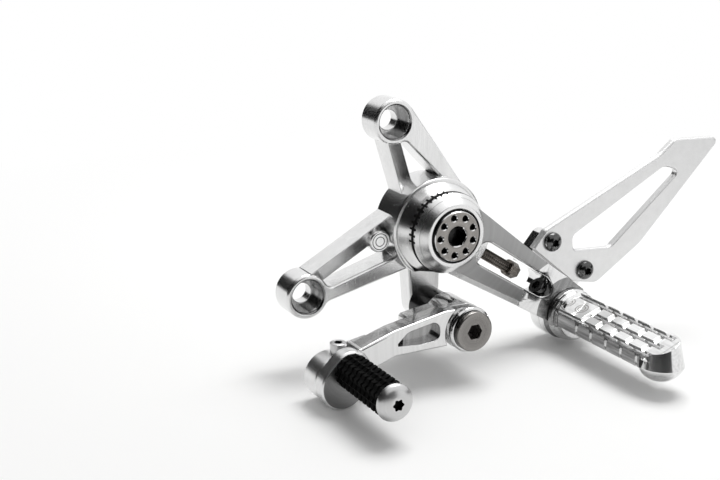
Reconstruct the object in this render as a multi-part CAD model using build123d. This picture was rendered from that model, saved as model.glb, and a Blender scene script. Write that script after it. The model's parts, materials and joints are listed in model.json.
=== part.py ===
# Left rear set footrest for a motorbike, with its heel guard and foot lever
# Sizes in mm. X points to the rear wheel, Y to the bike's frame, Z up.
# Places in the side view are (x, z) from the hub axis, and depths are measured
# outwards from the face that sits on the frame.
import os
from math import cos, hypot, radians, sin

from build123d import *

# Clearances
running = 0.05
face_gap = 0.1
free_gap = 0.35

# Frame bolts and their bosses
upper_bolt = (-18.5, 46.0)
lower_bolt = (-58.8, -23.0)
bolt_hole_d = 8.5
bolt_seat_d = 14.0
bolt_seat_depth = 6.5
bolt_seat_edge = 0.7
boss_d = 19.0

# Arms of the base plate. An end at a boss is measured from its bolt, an end at the hub from the hub axis
strut_depth = 12.0
strut_chamfer = 0.8
web_round = 3.6
upper_web_at_boss = (4.0, -6.8)
upper_web_at_hub = (8.0, 16.0)
lower_web_at_boss = ((4.8, -4.6), (6.8, 1.4))
lower_web_at_hub = ((-8.0, -8.5), (-8.0, -16.8))
side_strut_w = 8.4
side_strut_low = 6.5
upper_side_at_boss = (-4.2, -6.6)
upper_side_at_hub = (-13.6, 10.4)
lower_side_at_boss = (1.4, 9.5)
lower_side_at_hub = (-12.0, 11.6)
pad_place = (-26.0, -3.5)
pad_d = 9.4
pad_rise = 1.0
pad_edge = 0.4

# Hub of the base plate
flange_d = 43.0
flange_depth = 17.0
flange_edge = 0.6
flange_lip = 1.0
seam_d = 34.6
seam_depth = 24.0
seam_land = 1.2
socket_d = 26.1
socket_floor = 15.8
relief_left = -16.0
relief_right = 30.0
relief_low = -30.0

# Hub screw, clamp nut and friction washer
hub_screw_d = 8.0
hub_screw_head_d = 13.0
hub_screw_head = 8.0
hub_screw_hole_d = 8.6
hub_screw_socket = 6.0
hub_screw_seat_d = 14.2
hub_screw_seat = 8.4
nut_d = 22.5
nut_front = 31.9
nut_edge = 1.3
nut_hole_start = 22.0
nut_back = 26.1
nut_stem_d = 13.0
nut_stem = 7.0
nut_socket = 8.0
nut_socket_depth = 4.4
nut_holes = 9
nut_hole_d = 2.6
nut_hole_pcd = 16.2
nut_hole_depth = 2.2
nut_lead_in = 0.6
washer_t = 1.0
washer_inset = 0.45

# Footrest arm
peg_axis = (57.6, -42.2)
arm_front = 28.0
arm_back = 18.0
arm_hub_r = 15.4
arm_end_r = 12.3
boss_back_edge = 3.4
arm_lower_end = (46.5, -44.2)
arm_bevel = 2.2
ring_d = 28.0
ring_depth = 31.0
ring_round = 0.8
flare_r = 24.0
boss_front = 34.0
boss_front_edge = 2.2
slot_angle = -32.8
slot_near = 20.8
slot_near_r = 5.2
slot_far = 53.0
slot_far_r = 4.6
slot_edge = 0.7
shelf_end = 20.6
shelf_depth = 25.6

# Lock bolt of the hub, and lock screw of the footpeg, both in the slot
lock_bolt_d = 5.0
lock_bolt_flats = 6.2
lock_bolt_head = 5.0
lock_bolt_depth = 22.4
lock_bolt_reach = 37.8
lock_bolt_collar = 0.6
lock_bolt_edge = 1.0
peg_lock_d = 5.0
peg_lock_head_d = 8.2
peg_lock_head = 3.6
peg_lock_seat = 5.4
peg_lock_socket = 4.0
peg_lock_depth = 24.6

# Footpeg and its bolt
peg_d = 20.8
peg_collar_d = 23.0
peg_collar_end = 39.2
peg_neck_d = 19.0
peg_start = 40.6
peg_end = 93.0
peg_tread = 6.3
peg_keel = 6.6
peg_tilt = 20.0
peg_shank_d = 13.0
peg_shank_back = 22.4
first_block = 12.0
nose_d = 20.4
nose_reach = 1.3
nose_rise = 0.9
nose_land = 1.6
nose_lip = 4.0
nose_waist = -2.6
nose_top_r = 7.5
groove_rings = 5
ring_w = 1.4
ring_cut = 1.3
ring_mouth = 2.6
line_w = 2.6
line_cut = 2.8
outer_lines = (-6.8, 6.4)
middle_line = -0.2
peg_bolt_d = 8.0
peg_bolt_head_d = 13.0
peg_bolt_head = 3.2
peg_bolt_socket = 5.0
peg_bolt_reach = 44.0

# Heel guard
guard_back = 22.0
guard_t = 3.0
guard_edge = 0.7
guard_screw_places = ((53.3, -11.3), (71.7, -26.9))
guard_outline = ((43.5, -13.0), (49.6, -5.6), (111.5, 21.8), (119.4, 28.0), (147.6, 26.8),
                 (103.0, -18.7), (79.0, -34.2), (66.0, -31.6))
guard_rounds = (0.0, 3.5, 16.0, 3.5, 2.5, 24.0, 6.0, 0.0)
guard_window = ((64.8, -10.2), (114.0, 15.9), (123.6, 13.6), (85.5, -18.1), (65.2, -16.9))
guard_window_rounds = (3.0, 4.0, 2.0, 4.0, 2.5)
ledge_r = 4.1
ledge_back = 14.0
guard_screw_d = 5.0
guard_screw_head_d = 8.6
guard_screw_head = 2.8
guard_screw_socket = 3.0
guard_screw_length = 9.5

# Lever pivot
pivot = (-3.1, -34.7)
lug_top = (-4.0, -12.0)
lug_top_w = 16.5
lug_boss_d = 14.0
lug_back = 3.4
lug_depth = 12.0
pivot_thread_d = 8.0
pivot_journal_d = 10.0
pivot_head_d = 16.8
pivot_head = 2.0
pivot_socket = 6.0
pivot_socket_depth = 5.0
spacer_d = 16.4
thrust_d = 16.6
thrust_t = 0.6
barrel_back = 26.0
barrel_length = 23.0
barrel_d = 19.2
bush_d = 13.0
bush_length = 8.0

# Foot lever
lever_front = 48.4
lever_back = 40.0
toe_centre = (-63.0, -46.2)
toe_boss_d = 19.4
toe_boss_back = 36.0
toe_boss_front = 47.0
lever_upper = ((-15.0, -25.0), (-38.2, -29.3), (-54.0, -34.4))
lever_lower = ((-57.5, -53.0), (-46.0, -43.0), (-38.0, -40.2), (-12.0, -40.0))
lever_root = ((-46.0, -33.0), (-42.0, -40.6))
lever_edge = 0.6
barrel_edge = 0.7
neck_d = 15.6
neck_length = 3.4
neck_gap = 2.4
barrel_collar = 2.4
toe_boss_edge = 0.8
pocket_outline = ((-17.6, -28.2), (-32.3, -30.9), (-38.0, -36.0), (-26.0, -37.0), (-17.6, -36.4))
pocket_rounds = (3.4, 6.0, 0.8, 6.0, 3.4)
pocket_floor = 44.6
pocket_ramp = 6.0
ear_end = -25.0
ear_top = -30.6
ear_bottom = -40.0
ear_back = 27.0
ear_edge = 1.0
rod_place = (-19.5, -35.3)
rod_hole_d = 5.0
rod_hole_depth = 11.0

# Toe piece
toe_axis = (-60.0, -40.2)
holder_shank_d = 10.0
holder_front = 53.0
holder_lower_r = 9.7
holder_upper_r = 7.6
holder_edge = 0.7
toe_screw_d = 6.0
toe_screw_head_d = 14.8
toe_screw_head = 3.6
toe_screw_socket = 4.0
sleeve_d = 14.4
sleeve_front = 86.4
knurl_ridges = 14
knurl_rings = 9
knurl_ring_w = 1.3
knurl_cut = 0.9
set_screw_d = 4.0
set_screw_place = -60.0
set_screw_depth = 41.5
set_screw_seat = -36.2
set_screw_head_d = 6.6
set_screw_head = 4.0
set_screw_socket = 3.0


def at(place, depth):
    return Plane.XZ.offset(depth) * Pos(*place)


def disc(place, diameter, back, front):
    return extrude(at(place, back) * Circle(diameter / 2), front - back)


def prism(points, back, front):
    face = make_face(Polyline(*points, close=True))
    return extrude(Plane.XZ.offset(back) * face, front - back)


def rounded(points, rounds):
    face = make_face(Polyline(*points, close=True))
    for point, radius in zip(points, rounds):
        if radius > 0:
            corner = face.vertices().sort_by_distance((*point, 0))[0]
            face = fillet(corner, radius)
    return face


def turned(profile, place=(0, 0)):
    points = [(radius, -depth) for radius, depth in profile]
    face = make_face(Polyline(*points, close=True))
    return Pos(place[0], 0, place[1]) * revolve(face, Axis.Y)


def hex_hole(place, flats, back, front):
    return extrude(at(place, back) * RegularPolygon(flats / 2, 6, major_radius=False), front - back)


def moved(place, step):
    return (place[0] + step[0], place[1] + step[1])


def towards(start, end):
    length = hypot(end[0] - start[0], end[1] - start[1])
    return ((end[0] - start[0]) / length, (end[1] - start[1]) / length), length


def along(start, angle, distance):
    return (start[0] + distance * cos(radians(angle)), start[1] + distance * sin(radians(angle)))


def outer_tangent(centre_a, radius_a, centre_b, radius_b, side):
    (ux, uz), length = towards(centre_a, centre_b)
    tilt = (radius_a - radius_b) / length
    lift = (1 - tilt * tilt) ** 0.5
    nx = ux * tilt - side * uz * lift
    nz = uz * tilt + side * ux * lift
    point_a = (centre_a[0] + nx * radius_a, centre_a[1] + nz * radius_a)
    point_b = (centre_b[0] + nx * radius_b, centre_b[1] + nz * radius_b)
    return point_a, point_b


def side_strut(start, end, width, high, low):
    (ux, uz), length = towards(start, end)
    section = Plane(origin=(start[0], 0, start[1]), x_dir=(-uz, 0, ux), z_dir=(ux, 0, uz))
    face = make_face(Polyline((0, 0), (width, 0), (width, low), (0, high), close=True))
    return extrude(section * face, length)


def front_edges(part):
    return part.faces().sort_by(Axis.Y)[0].edges()


def plain_screw(thread_d, head_d, head, length, socket, dome=0.0, lobed=False):
    # Stands on the origin with its head up
    profile = [(0, -length), (thread_d / 2, -length), (thread_d / 2, 0), (head_d / 2, 0),
               (head_d / 2, head - max(dome, 0.3))]
    if dome > 0:
        profile.append((head_d * 0.38, head - dome * 0.35))
    profile.append((head_d / 2 - 0.3 - dome * 0.9, head))
    profile.append((0, head))
    face = make_face(Polyline(*profile, close=True))
    body = revolve(Plane.XZ * face, Axis.Z)
    depth = min(0.6 * head, 0.5 * socket + 0.4)
    recess = RegularPolygon(socket / 2, 6, major_radius=False)
    if lobed:
        star = [along((0, 0), 30 * index, socket * (0.36 if index % 2 else 0.54)) for index in range(12)]
        recess = make_face(Polyline(*star, close=True))
    return body - Pos(0, 0, head - depth) * extrude(recess, depth)


def facing_out(place, depth):
    return Pos(place[0], -depth, place[1]) * Rot(90, 0, 0)


def web(bolt, corners, rounds_near):
    # A boss and its straight arm in one outline, with the inside corners rounded
    face = make_face(Polyline(*corners, close=True)) + Pos(*bolt) * Circle(boss_d / 2)
    for point in rounds_near:
        corner = face.vertices().sort_by_distance((*point, 0))[0]
        face = fillet(corner, web_round)
    part = extrude(Plane.XZ * face, strut_depth)
    return chamfer(front_edges(part), strut_chamfer)


def make_base_plate():
    lip_r = flange_d / 2 - flange_edge - flange_lip
    hub = turned([(0, 0), (flange_d / 2, 0), (flange_d / 2, flange_depth - flange_edge),
                  (flange_d / 2 - flange_edge, flange_depth), (lip_r, flange_depth),
                  (seam_d / 2, seam_depth - seam_land), (seam_d / 2, seam_depth), (0, seam_depth)])

    # Main struts run tangent to the hub and the boss, the side struts lean inwards
    tangent = outer_tangent(upper_bolt, boss_d / 2, (0, 0), flange_d / 2, 1)
    corner = moved(upper_bolt, upper_web_at_boss)
    upper_arm = web(upper_bolt, (*tangent, upper_web_at_hub, corner), (corner,))
    upper_arm += side_strut(moved(upper_bolt, upper_side_at_boss), upper_side_at_hub,
                            side_strut_w, strut_depth, side_strut_low)
    corners = [moved(lower_bolt, step) for step in lower_web_at_boss]
    lower_arm = web(lower_bolt, (*corners, *lower_web_at_hub), corners)
    lower_arm += side_strut(lower_side_at_hub, moved(lower_bolt, lower_side_at_boss),
                            side_strut_w, strut_depth, side_strut_low)
    pad = chamfer(front_edges(disc(pad_place, pad_d, 0, strut_depth + pad_rise)), pad_edge)

    # Under the lug the hub is cut back to the seam, so the lug's face runs up to it
    relief_top = -seam_d / 2 - free_gap
    hub -= prism(((relief_left, relief_top), (relief_right, relief_top), (relief_right, relief_low),
                  (relief_left, relief_low)), lug_depth, seam_depth)
    lug = make_hull((Pos(*pivot) * Circle(lug_boss_d / 2)).edges()
                    + (Pos(*lug_top) * Circle(lug_top_w / 2)).edges())
    lug = extrude(Plane.XZ.offset(lug_back) * lug, lug_depth - lug_back)
    lug = chamfer(front_edges(lug), strut_chamfer)

    plate = hub + upper_arm + lower_arm + pad + lug
    for place in (upper_bolt, lower_bolt):
        seat_r = bolt_seat_d / 2
        seat_floor = strut_depth - bolt_seat_depth
        plate -= disc(place, bolt_hole_d, -1, strut_depth + 1)
        plate -= turned([(0, seat_floor), (seat_r, seat_floor), (seat_r, strut_depth - bolt_seat_edge),
                         (seat_r + bolt_seat_edge, strut_depth), (seat_r + bolt_seat_edge, strut_depth + 1),
                         (0, strut_depth + 1)], place)
    plate -= disc((0, 0), hub_screw_seat_d, -1, hub_screw_seat)
    plate -= disc((0, 0), hub_screw_hole_d, 0, seam_depth)
    plate -= disc((0, 0), socket_d, socket_floor, seam_depth + 1)
    return plate - disc(pivot, pivot_thread_d, lug_back - 1, lug_depth + 1)


def make_hub_screw():
    length = nut_front - nut_socket_depth - 0.4 - hub_screw_seat
    screw = plain_screw(hub_screw_d, hub_screw_head_d, hub_screw_head, length, hub_screw_socket)
    return Pos(0, -hub_screw_seat, 0) * Rot(-90, 0, 0) * screw


def make_clamp_nut():
    nut = turned([(0, nut_back - nut_stem), (nut_stem_d / 2, nut_back - nut_stem), (nut_stem_d / 2, nut_back),
                  (nut_d / 2, nut_back), (nut_d / 2, nut_front - nut_edge), (nut_d / 2 - nut_edge * 0.7, nut_front),
                  (0, nut_front)])
    nut -= disc((0, 0), hub_screw_d, 0, nut_front - nut_socket_depth)
    nut -= hex_hole((0, 0), nut_socket, nut_front - nut_socket_depth, nut_front + 1)
    nut -= turned([(0, nut_front - nut_lead_in), (nut_socket / 2, nut_front - nut_lead_in),
                   (nut_socket / 2 + nut_lead_in, nut_front), (0, nut_front)])
    for index in range(nut_holes):
        place = along((0, 0), 360 / nut_holes * index + nut_hole_start, nut_hole_pcd / 2)
        nut -= disc(place, nut_hole_d, nut_front - nut_hole_depth, nut_front + 1)
    return nut


def make_friction_washer():
    outer = disc((0, 0), seam_d - 2 * washer_inset, seam_depth, seam_depth + washer_t)
    return outer - disc((0, 0), socket_d + 2 * free_gap, seam_depth - 1, seam_depth + washer_t + 1)


def make_arm():
    hub_back = seam_depth + washer_t + face_gap
    spigot_d = socket_d - 2 * running
    top_hub, top_end = outer_tangent((0, 0), arm_hub_r, peg_axis, arm_end_r, 1)
    low_hub = outer_tangent((0, 0), arm_hub_r, arm_lower_end, 0.1, -1)[0]
    outline = (top_hub, top_end, peg_axis, arm_lower_end, low_hub)
    bar = prism(outline, arm_back, arm_front)
    middle = ((low_hub[0] + arm_lower_end[0]) / 2, -arm_front, (low_hub[1] + arm_lower_end[1]) / 2)
    bar = chamfer(bar.edges().sort_by_distance(middle)[0], arm_bevel)
    hub = turned([(0, socket_floor + 0.3), (spigot_d / 2, socket_floor + 0.3), (spigot_d / 2, hub_back),
                  (seam_d / 2, hub_back), (seam_d / 2, hub_back + 1.0), (ring_d / 2, ring_depth - ring_round),
                  (ring_d / 2 - ring_round, ring_depth), (0, ring_depth)])
    boss = disc(peg_axis, 2 * arm_end_r, arm_back, boss_front)
    boss = chamfer(front_edges(boss), boss_front_edge)
    boss = chamfer(boss.faces().sort_by(Axis.Y)[-1].edges(), boss_back_edge)
    flare = turned([(0, arm_front - 1), (flare_r, arm_front - 1), (flare_r, arm_front),
                    (arm_end_r, boss_front - 0.6), (0, boss_front - 0.6)], peg_axis)
    flare = flare & prism(outline, arm_front - 0.5, boss_front)
    (ux, uz), span = towards(*guard_screw_places)
    ledge = Sketch()
    for x, z in guard_screw_places:
        inner = (x + uz * 15, z - ux * 15)
        ledge += Pos(x, z) * Circle(ledge_r)
        ledge += Pos(*inner) * Circle(ledge_r)
    ledge = make_hull(ledge.edges())
    ledge = extrude(Plane.XZ.offset(ledge_back) * ledge, guard_back - ledge_back)
    arm = bar + hub + boss + flare + ledge

    # Room for the base plate's hub under the arm
    arm -= turned([(spigot_d / 2, -1), (flange_d / 2 + 0.7, -1), (flange_d / 2 + 0.7, flange_depth + 0.5),
                   (seam_d / 2 + 0.7, seam_depth - 0.6), (seam_d / 2 + 0.7, hub_back), (spigot_d / 2, hub_back)])
    arm -= disc((0, 0), nut_d + 2 * free_gap, nut_back - face_gap, ring_depth + 1)
    arm -= disc((0, 0), nut_stem_d + 2 * free_gap, 0, ring_depth)

    # Slot with a shelf at its hub end
    near = along((0, 0), slot_angle, slot_near)
    far = along((0, 0), slot_angle, slot_far)
    slot = make_hull((Pos(*near) * Circle(slot_near_r)).edges() + (Pos(*far) * Circle(slot_far_r)).edges())
    slot_cut = extrude(Plane.XZ.offset(ledge_back - 1) * slot, ring_depth + 6 - ledge_back)
    shelf = turned([(0, 0), (shelf_end, 0), (shelf_end, shelf_depth), (0, shelf_depth)])
    arm -= slot_cut - shelf
    arm -= extrude(Plane.XZ.offset(arm_front) * offset(slot, slot_edge), -slot_edge, taper=45)

    # Guard seat, peg bore, bolt seat and threads
    guard_room = offset(rounded(guard_outline, guard_rounds), 0.3)
    arm -= extrude(Plane.XZ.offset(guard_back) * guard_room, guard_t + 8) & beyond_edge(top_hub, top_end)
    for place in guard_screw_places:
        arm -= disc(place, guard_screw_d, ledge_back - 1, guard_back + 1)
    arm -= disc(peg_axis, peg_shank_d, peg_shank_back, boss_front + 1)
    arm -= disc(peg_axis, peg_bolt_d + 0.5, 0, boss_front)
    arm -= disc(peg_axis, peg_bolt_head_d + 0.6, 0, arm_back + peg_bolt_head + 0.3)
    arm -= lock_bolt_hole()
    arm -= peg_lock_hole()
    return arm


def beyond_edge(start, end):
    # Everything above the arm's top edge
    (ux, uz), length = towards(start, end)
    a = (start[0] - ux * 150 - uz * 0.2, start[1] - uz * 150 + ux * 0.2)
    b = (end[0] + ux * 150 - uz * 0.2, end[1] + uz * 150 + ux * 0.2)
    return prism((a, b, (b[0] - uz * 150, b[1] + ux * 150), (a[0] - uz * 150, a[1] + ux * 150)), 0, 60)


def lock_bolt_frame():
    x, z = along((0, 0), slot_angle, 1.0)
    return Plane(origin=(0, -lock_bolt_depth, 0), x_dir=(0, -1, 0), z_dir=(x, 0, z))


def lock_bolt_start():
    # Its end stays clear of the plate's cone, which is widest at the bolt's back
    lip_r = flange_d / 2 - flange_edge - flange_lip
    taper = (lip_r - seam_d / 2) / (seam_depth - seam_land - flange_depth)
    widest = lip_r - taper * (lock_bolt_depth - lock_bolt_d / 2 - flange_depth)
    return max(widest, seam_d / 2) + free_gap


def lock_bolt_hole():
    return extrude(lock_bolt_frame().offset(lock_bolt_start() - 1) * Circle(lock_bolt_d / 2), shelf_end)


def make_lock_bolt():
    frame = lock_bolt_frame()
    start = lock_bolt_start()
    shank = extrude(frame.offset(start) * Circle(lock_bolt_d / 2), lock_bolt_reach - start)
    head = extrude(frame.offset(lock_bolt_reach) * RegularPolygon(lock_bolt_flats / 2, 6, major_radius=False),
                   lock_bolt_head)
    collar = extrude(frame.offset(lock_bolt_reach - lock_bolt_collar) * Circle(lock_bolt_flats / 2 + 0.4),
                     lock_bolt_collar)
    plain = lock_bolt_head - lock_bolt_edge
    cone = extrude(frame.offset(lock_bolt_reach + plain) * Circle(lock_bolt_flats / 2 + 0.75), lock_bolt_edge, taper=45)
    cone += extrude(frame.offset(lock_bolt_reach) * Circle(lock_bolt_flats), plain)
    return shank + collar + (head & cone)


def peg_lock_frame():
    far = along((0, 0), slot_angle, slot_far)
    (ux, uz), length = towards(far, peg_axis)
    seat = (far[0] + ux * peg_lock_seat, far[1] + uz * peg_lock_seat)
    frame = Plane(origin=(seat[0], -peg_lock_depth, seat[1]), x_dir=(0, -1, 0), z_dir=(-ux, 0, -uz))
    return frame, length - peg_lock_seat - peg_shank_d / 2 - free_gap


def peg_lock_hole():
    frame, length = peg_lock_frame()
    hole = extrude(frame * Circle(peg_lock_d / 2), -length - 2)
    return hole + extrude(frame * Circle(peg_lock_head_d / 2 + 0.2), peg_lock_head + 3)


def make_peg_lock_screw():
    frame, length = peg_lock_frame()
    screw = plain_screw(peg_lock_d, peg_lock_head_d, peg_lock_head, length, peg_lock_socket)
    return frame.location * screw


def peg_section():
    # Flat tread on top, and a keel that is narrower than the nose
    half = peg_d / 2 + 2
    keel = peg_keel * 2 ** 0.5
    outline = ((-half, peg_tread), (-half, half - keel), (0, -keel), (half, half - keel), (half, peg_tread))
    return Circle(peg_d / 2) & make_face(Polyline(*outline, close=True))


def peg_plane(depth):
    return at(peg_axis, depth) * Rot(0, 0, peg_tilt)


def ring_depths():
    first = peg_start + first_block
    pitch = (peg_end - nose_land - first) / (groove_rings - 1)
    return [first + pitch * index for index in range(groove_rings)]


def make_footpeg():
    rings = ring_depths()
    rim = peg_collar_d / 2
    nose_depth = peg_end + nose_reach
    root = turned([(0, peg_shank_back), (peg_shank_d / 2, peg_shank_back), (peg_shank_d / 2, boss_front),
                   (rim, boss_front), (rim, boss_front + 2.2), (rim - 0.9, boss_front + 2.7),
                   (rim - 0.9, boss_front + 3.4), (rim - 0.2, boss_front + 3.9), (rim - 0.7, peg_collar_end),
                   (peg_neck_d / 2, peg_collar_end + 0.4), (peg_neck_d / 2, peg_start), (0, peg_start)], peg_axis)
    bar = extrude(peg_plane(peg_collar_end) * peg_section(), peg_end - peg_collar_end)
    tip = Pos(peg_axis[0], -nose_depth, peg_axis[1] + nose_rise) * Sphere(nose_d / 2)
    tip = tip & disc(peg_axis, 2 * peg_d, rings[-1] + ring_w / 2, peg_end + peg_d)
    # Above its waist the ball becomes a steep upright cone
    waist_r = ((nose_d / 2) ** 2 - (nose_waist - nose_rise) ** 2) ** 0.5
    slope = (waist_r - nose_top_r) / (peg_tread - nose_waist)
    cone = Cone(waist_r + slope * (peg_d + nose_waist), waist_r - slope * (peg_d - nose_waist), 2 * peg_d)
    tip = tip & (Pos(peg_axis[0], -nose_depth, peg_axis[1]) * cone)
    peg = root + bar + tip

    # Rings and long grooves cut the tread into blocks, and the first block stays wide
    length = peg_end + peg_d - peg_start
    above = Pos(0, peg_tread + 10, length / 2) * Box(60, 20, length)
    peg -= peg_plane(peg_start) * above
    core = offset(peg_section(), -ring_cut)
    band = Circle(peg_d) - core
    mouth = make_face(Polyline((-ring_mouth / 2, 0), (ring_mouth / 2, 0), (ring_w / 2, -ring_cut),
                               (-ring_w / 2, -ring_cut), close=True))
    for depth in rings:
        peg -= extrude(peg_plane(depth - ring_w / 2) * band, ring_w)
        across = Plane(origin=(-peg_d, peg_tread, 0), x_dir=(0, 0, -1), z_dir=(1, 0, 0))
        peg -= peg_plane(depth) * (across * extrude(mouth, 2 * peg_d))
    for across, start in ((middle_line, rings[0]), (outer_lines[0], peg_collar_end), (outer_lines[1], peg_collar_end)):
        run = peg_end + nose_lip - start
        cut = Pos(across, peg_tread, run / 2) * Box(line_w, 2 * line_cut, run)
        peg -= peg_plane(start) * cut
    return peg - disc(peg_axis, peg_bolt_d, 0, peg_bolt_reach + 1)


def make_peg_bolt():
    seat = arm_back + peg_bolt_head + 0.3
    screw = plain_screw(peg_bolt_d, peg_bolt_head_d, peg_bolt_head, peg_bolt_reach - seat, peg_bolt_socket, 1.2)
    return Pos(peg_axis[0], -seat, peg_axis[1]) * Rot(-90, 0, 0) * screw


def make_heel_guard():
    face = rounded(guard_outline, guard_rounds)
    face -= rounded(guard_window, guard_window_rounds)
    for place in guard_screw_places:
        face -= Pos(*place) * Circle(guard_screw_d / 2 + 0.2)
    guard = extrude(Plane.XZ.offset(guard_back) * face, guard_t)
    rim = [edge for edge in front_edges(guard) if edge.length > 12 and edge.geom_type == GeomType.LINE]
    outer = [edge for edge in rim if edge.center().Z > guard_outline[0][1] and edge.center().X > 70]
    guard = chamfer(outer, guard_edge)
    top_hub, top_end = outer_tangent((0, 0), arm_hub_r, peg_axis, arm_end_r, 1)
    (ux, uz), length = towards(top_hub, top_end)
    shifted = [(x - uz * 0.3, z + ux * 0.3) for x, z in (top_hub, top_end)]
    return guard & beyond_edge(*shifted)


def make_guard_screws():
    screws = []
    for place in guard_screw_places:
        screw = plain_screw(guard_screw_d, guard_screw_head_d, guard_screw_head, guard_screw_length,
                            guard_screw_socket, 1.3)
        screws.append(facing_out(place, guard_back + guard_t) * screw)
    return Compound(children=screws)


def pivot_stack():
    inner = barrel_back - face_gap
    outer = barrel_back + barrel_length + face_gap
    return inner, outer


def make_pivot_bolt():
    inner, outer = pivot_stack()
    seat = outer + thrust_t
    bolt = turned([(0, lug_back + 0.6), (pivot_thread_d / 2, lug_back + 0.6), (pivot_thread_d / 2, lug_depth),
                   (pivot_journal_d / 2, lug_depth), (pivot_journal_d / 2, seat), (pivot_head_d / 2, seat),
                   (pivot_head_d / 2, seat + pivot_head - 0.5), (pivot_head_d / 2 - 0.5, seat + pivot_head),
                   (0, seat + pivot_head)], pivot)
    floor = seat + pivot_head - pivot_socket_depth
    bolt -= hex_hole(pivot, pivot_socket, floor, seat + pivot_head + 1)
    return bolt


def ring_part(outer_d, back, front):
    return disc(pivot, outer_d, back, front) - disc(pivot, pivot_journal_d + 2 * running, back - 1, front + 1)


def make_pivot_spacer():
    inner, outer = pivot_stack()
    spacer = ring_part(spacer_d, lug_depth, inner - thrust_t)
    return chamfer(front_edges(spacer).sort_by(SortBy.LENGTH)[-1], 0.6)


def make_thrust_washer(back):
    return ring_part(thrust_d, back, back + thrust_t)


def make_bush(back):
    return ring_part(bush_d, back, back + bush_length)


def make_lever():
    front = barrel_back + barrel_length
    barrel = disc(pivot, barrel_d, barrel_back, front)
    barrel = chamfer(barrel.edges().filter_by(GeomType.CIRCLE), barrel_edge)
    toe = disc(toe_centre, toe_boss_d, toe_boss_back, toe_boss_front)
    toe = chamfer(toe.edges().filter_by(GeomType.CIRCLE), toe_boss_edge)
    outline = (pivot, (pivot[0], pivot[1] + barrel_d / 2), *lever_upper, toe_centre, *lever_lower)
    bar = prism(outline, lever_back, lever_front)
    bar = chamfer(front_edges(bar), lever_edge)
    thick = prism((toe_centre, lever_upper[-1], *lever_root, lever_lower[1], lever_lower[0]),
                  toe_boss_back + 1, lever_back)
    pocket = extrude(Plane.XZ.offset(pocket_floor) * rounded(pocket_outline, pocket_rounds), 10)
    tip = pocket_outline[2][0] - 0.5
    ramp = make_face(Polyline((tip, -pocket_floor + 1), (tip, -lever_front), (tip + pocket_ramp, -pocket_floor),
                              (tip + pocket_ramp, -pocket_floor + 1), close=True))
    pocket -= extrude(ramp, 60, both=True)
    ear = prism((pivot, (pivot[0], ear_top + 3), (ear_end, ear_top), (ear_end, ear_bottom),
                 (pivot[0], ear_bottom - 2)), ear_back, lever_back)
    ear = chamfer(ear.edges().filter_by(Axis.Y).sort_by(Axis.X)[0:2], ear_edge)
    lever = bar + barrel + toe + thick + ear - pocket

    # A neck behind the barrel's collar, which also sets the arm's end free of the collar
    neck_front = front - barrel_collar
    neck_back = neck_front - neck_length
    collar_r = barrel_d / 2
    lever -= turned([(neck_d / 2, neck_back), (collar_r + neck_gap, neck_back), (collar_r + neck_gap, front + 1),
                     (collar_r, front + 1), (collar_r, neck_front), (neck_d / 2, neck_front)], pivot)

    # The holder's flange turns in front of the toe end
    sweep = hypot(toe_axis[0] - toe_centre[0], toe_axis[1] - toe_centre[1]) + holder_upper_r + free_gap
    lever -= disc(toe_centre, 2 * sweep, toe_boss_front, front + 20)
    lever -= disc(toe_centre, holder_shank_d + 2 * running, 0, front)
    lever -= disc(pivot, bush_d, 0, front + 1)
    lever -= disc(rod_place, rod_hole_d, ear_back - 1, ear_back + rod_hole_depth)
    seat = Pos(set_screw_place, -set_screw_depth, set_screw_seat)
    lever -= seat * Cylinder(set_screw_head_d / 2 + 0.5, 20, align=(Align.CENTER, Align.CENTER, Align.MIN))
    lever -= seat * Cylinder(set_screw_d / 2, 8, align=(Align.CENTER, Align.CENTER, Align.MAX))
    return lever


def make_toe_holder():
    shank = disc(toe_centre, holder_shank_d, toe_boss_back + 0.6, toe_boss_front + 1)
    shape = make_hull((Pos(*toe_centre) * Circle(holder_lower_r)).edges()
                      + (Pos(*toe_axis) * Circle(holder_upper_r)).edges())
    back = toe_boss_front + face_gap
    flange = extrude(Plane.XZ.offset(back) * shape, holder_front - back)
    flange = chamfer(front_edges(flange), holder_edge)
    return shank + flange - disc(toe_axis, toe_screw_d, back + 0.4, holder_front + 1)


def make_toe_screw():
    length = sleeve_front - toe_boss_front - face_gap - 1.0
    screw = plain_screw(toe_screw_d, toe_screw_head_d, toe_screw_head, length, toe_screw_socket, 1.6, True)
    return facing_out(toe_axis, sleeve_front) * screw


def make_toe_sleeve():
    rim = sleeve_d / 2
    valley = rim - knurl_cut
    ridged = [along((0, 0), 180 / knurl_ridges * index, valley if index % 2 else rim)
              for index in range(2 * knurl_ridges)]
    length = sleeve_front - holder_front
    sleeve = extrude(at(toe_axis, holder_front) * make_face(Polyline(*ridged, close=True)), length)
    band = Circle(rim + 1) - make_face(Polyline(*ridged[1::2], close=True))
    pitch = length / (knurl_rings + 1)
    for index in range(knurl_rings):
        depth = holder_front + pitch * (index + 1)
        sleeve -= extrude(at(toe_axis, depth - knurl_ring_w / 2) * band, knurl_ring_w)
    return sleeve - disc(toe_axis, toe_screw_d + 2 * running, holder_front - 1, sleeve_front + 1)


def make_set_screw():
    stop = toe_centre[1] + holder_shank_d / 2 + free_gap
    screw = plain_screw(set_screw_d, set_screw_head_d, set_screw_head, set_screw_seat - stop, set_screw_socket)
    return Pos(set_screw_place, -set_screw_depth, set_screw_seat) * screw


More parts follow.
